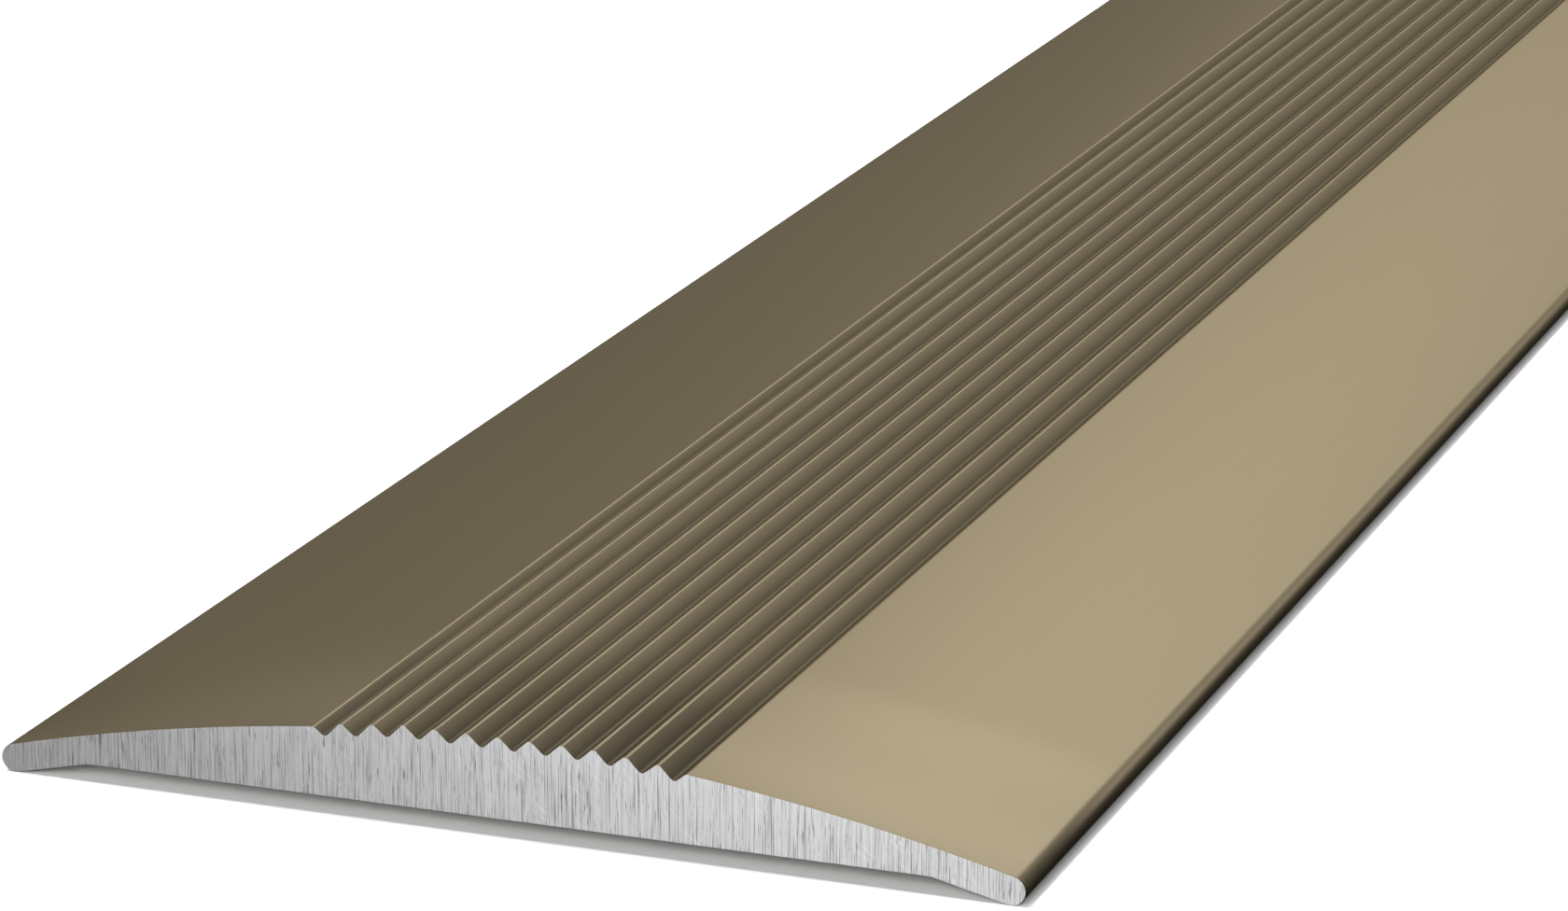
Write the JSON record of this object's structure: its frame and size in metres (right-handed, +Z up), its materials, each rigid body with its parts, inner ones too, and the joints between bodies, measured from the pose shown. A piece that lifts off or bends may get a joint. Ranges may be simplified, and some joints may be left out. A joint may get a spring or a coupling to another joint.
{
  "type": "floor threshold strip",
  "caption": "Flat ribbed aluminium threshold strip with rounded edges and a taped underside, for covering the joint between two floors.",
  "frame": {"origin": "middle of the strip, on the floor that it lies on", "axes": "+Y along the strip, +X across it, +Z up through the ribs; the strip is the same on both sides of X = 0 and Y = 0"},
  "size_m": [0.08, 1, 0.0076],
  "materials": {
    "anodised_bar": "satin",
    "foam_tape": "matte",
    "liner_paper": "satin"
  },
  "bodies": {
    "root": {"profile_bar": "anodised_bar", "adhesive_tape_left": "foam_tape", "adhesive_tape_right": "foam_tape", "release_liner_left": "liner_paper", "release_liner_right": "liner_paper"}
  },
  "joints": []
}
